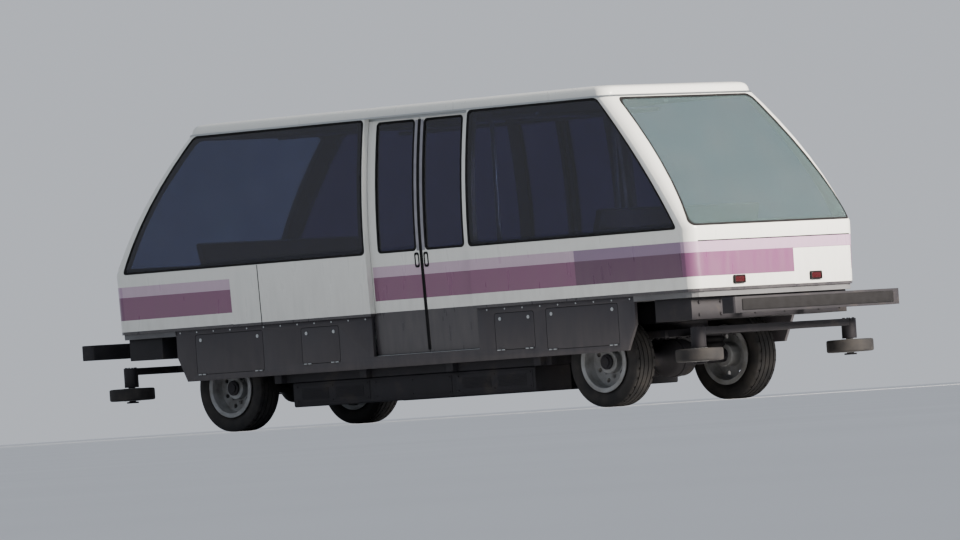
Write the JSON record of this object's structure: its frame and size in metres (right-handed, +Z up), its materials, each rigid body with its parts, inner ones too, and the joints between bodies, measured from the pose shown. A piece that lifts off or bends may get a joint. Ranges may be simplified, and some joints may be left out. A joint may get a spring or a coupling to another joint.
{
  "type": "guideway people mover car",
  "caption": "Small automatic passenger car with sloping glazed ends and double sliding doors, on two steering trucks with rubber tyres and side guide wheels.",
  "frame": {"origin": "on the running surface, under the middle of the car", "axes": "+X to the front end, +Y to the left, +Z up"},
  "size_m": [7.56, 2.2376, 2.64],
  "materials": {
    "body_white": "gloss gel coat over glass-fibre panels, with plum and rose bands",
    "tinted_glass": "smoked safety glass",
    "frame_paint": "dark chassis paint, dusty",
    "skirt_dark": "satin dark skirt panels",
    "bumper_rubber": "dark rubber-faced steel bar",
    "floor_rubber": "ribbed floor covering",
    "seat_moulding": "moulded seat shells",
    "stainless": "satin tube",
    "wheel_steel": "grey wheel paint",
    "tyre_rubber": "worn black rubber"
  },
  "bodies": {
    "car_body": {"centre_frame": "frame_paint", "floor_middle": "floor_rubber", "roof": "body_white", "handrails": "stainless", "skirt_left": "skirt_dark", "equipment_case_left": "frame_paint", "skirt_right": "skirt_dark", "equipment_case_right": "frame_paint", "end_frame_front": "frame_paint", "platform_front": "floor_rubber", "end_cap_front": "body_white", "windscreen_front": "tinted_glass", "end_bench_front": "seat_moulding", "bumper_front": "bumper_rubber", "side_wall_front_left": "body_white", "side_glass_front_left": "tinted_glass", "side_wall_front_right": "body_white", "side_glass_front_right": "tinted_glass", "end_frame_rear": "frame_paint", "platform_rear": "floor_rubber", "end_cap_rear": "body_white", "windscreen_rear": "tinted_glass", "end_bench_rear": "seat_moulding", "bumper_rear": "bumper_rubber", "side_wall_rear_left": "body_white", "side_glass_rear_left": "tinted_glass", "side_wall_rear_right": "body_white", "side_glass_rear_right": "tinted_glass"},
    "door_front_left": {"door_leaf_front_left": "body_white", "door_glass_front_left": "tinted_glass"},
    "door_front_right": {"door_leaf_front_right": "body_white", "door_glass_front_right": "tinted_glass"},
    "door_rear_left": {"door_leaf_rear_left": "body_white", "door_glass_rear_left": "tinted_glass"},
    "door_rear_right": {"door_leaf_rear_right": "body_white", "door_glass_rear_right": "tinted_glass"},
    "truck_front": {"truck_frame_front": "frame_paint", "drive_axle_front": "frame_paint", "motor_front": "frame_paint"},
    "truck_rear": {"truck_frame_rear": "frame_paint", "drive_axle_rear": "frame_paint", "motor_rear": "frame_paint"},
    "wheel_front_left": {"rim_front_left": "wheel_steel", "tyre_front_left": "tyre_rubber"},
    "guide_wheel_front_left": {"guide_wheel_front_left": "tyre_rubber"},
    "wheel_front_right": {"rim_front_right": "wheel_steel", "tyre_front_right": "tyre_rubber"},
    "guide_wheel_front_right": {"guide_wheel_front_right": "tyre_rubber"},
    "wheel_rear_left": {"rim_rear_left": "wheel_steel", "tyre_rear_left": "tyre_rubber"},
    "guide_wheel_rear_left": {"guide_wheel_rear_left": "tyre_rubber"},
    "wheel_rear_right": {"rim_rear_right": "wheel_steel", "tyre_rear_right": "tyre_rubber"},
    "guide_wheel_rear_right": {"guide_wheel_rear_right": "tyre_rubber"}
  },
  "joints": [
    {"name": "door_front_left_slide", "type": "slide", "parent": "car_body", "child": "door_front_left", "axis": [1, 0, 0], "range_m": [0, 0.57]},
    {"name": "door_rear_left_slide", "type": "slide", "parent": "car_body", "child": "door_rear_left", "axis": [-1, 0, 0], "range_m": [0, 0.57]},
    {"name": "door_front_right_slide", "type": "slide", "parent": "car_body", "child": "door_front_right", "axis": [1, 0, 0], "range_m": [0, 0.57]},
    {"name": "door_rear_right_slide", "type": "slide", "parent": "car_body", "child": "door_rear_right", "axis": [-1, 0, 0], "range_m": [0, 0.57]},
    {"name": "truck_front_yaw", "type": "hinge", "parent": "car_body", "child": "truck_front", "pos_m": [2.16, 0, 0.62], "axis": [0, 0, 1], "range_deg": [-8, 8]},
    {"name": "wheel_front_left_spin", "type": "hinge", "parent": "truck_front", "child": "wheel_front_left", "pos_m": [2.16, 0.745, 0.37], "axis": [0, 1, 0], "continuous": true},
    {"name": "guide_front_left_spin", "type": "hinge", "parent": "truck_front", "child": "guide_wheel_front_left", "pos_m": [3.28, 0.925, 0.375], "axis": [0, 0, 1], "continuous": true},
    {"name": "wheel_front_right_spin", "type": "hinge", "parent": "truck_front", "child": "wheel_front_right", "pos_m": [2.16, -0.745, 0.37], "axis": [0, 1, 0], "continuous": true},
    {"name": "guide_front_right_spin", "type": "hinge", "parent": "truck_front", "child": "guide_wheel_front_right", "pos_m": [3.28, -0.925, 0.375], "axis": [0, 0, 1], "continuous": true},
    {"name": "truck_rear_yaw", "type": "hinge", "parent": "car_body", "child": "truck_rear", "pos_m": [-2.16, 0, 0.62], "axis": [0, 0, 1], "range_deg": [-8, 8]},
    {"name": "wheel_rear_left_spin", "type": "hinge", "parent": "truck_rear", "child": "wheel_rear_left", "pos_m": [-2.16, 0.745, 0.37], "axis": [0, 1, 0], "continuous": true},
    {"name": "guide_rear_left_spin", "type": "hinge", "parent": "truck_rear", "child": "guide_wheel_rear_left", "pos_m": [-3.28, 0.925, 0.375], "axis": [0, 0, 1], "continuous": true},
    {"name": "wheel_rear_right_spin", "type": "hinge", "parent": "truck_rear", "child": "wheel_rear_right", "pos_m": [-2.16, -0.745, 0.37], "axis": [0, 1, 0], "continuous": true},
    {"name": "guide_rear_right_spin", "type": "hinge", "parent": "truck_rear", "child": "guide_wheel_rear_right", "pos_m": [-3.28, -0.925, 0.375], "axis": [0, 0, 1], "continuous": true}
  ],
  "couplings": [
    {"joint": "door_rear_left_slide", "follows": "door_front_left_slide", "ratio": 1},
    {"joint": "door_rear_right_slide", "follows": "door_front_right_slide", "ratio": 1}
  ]
}
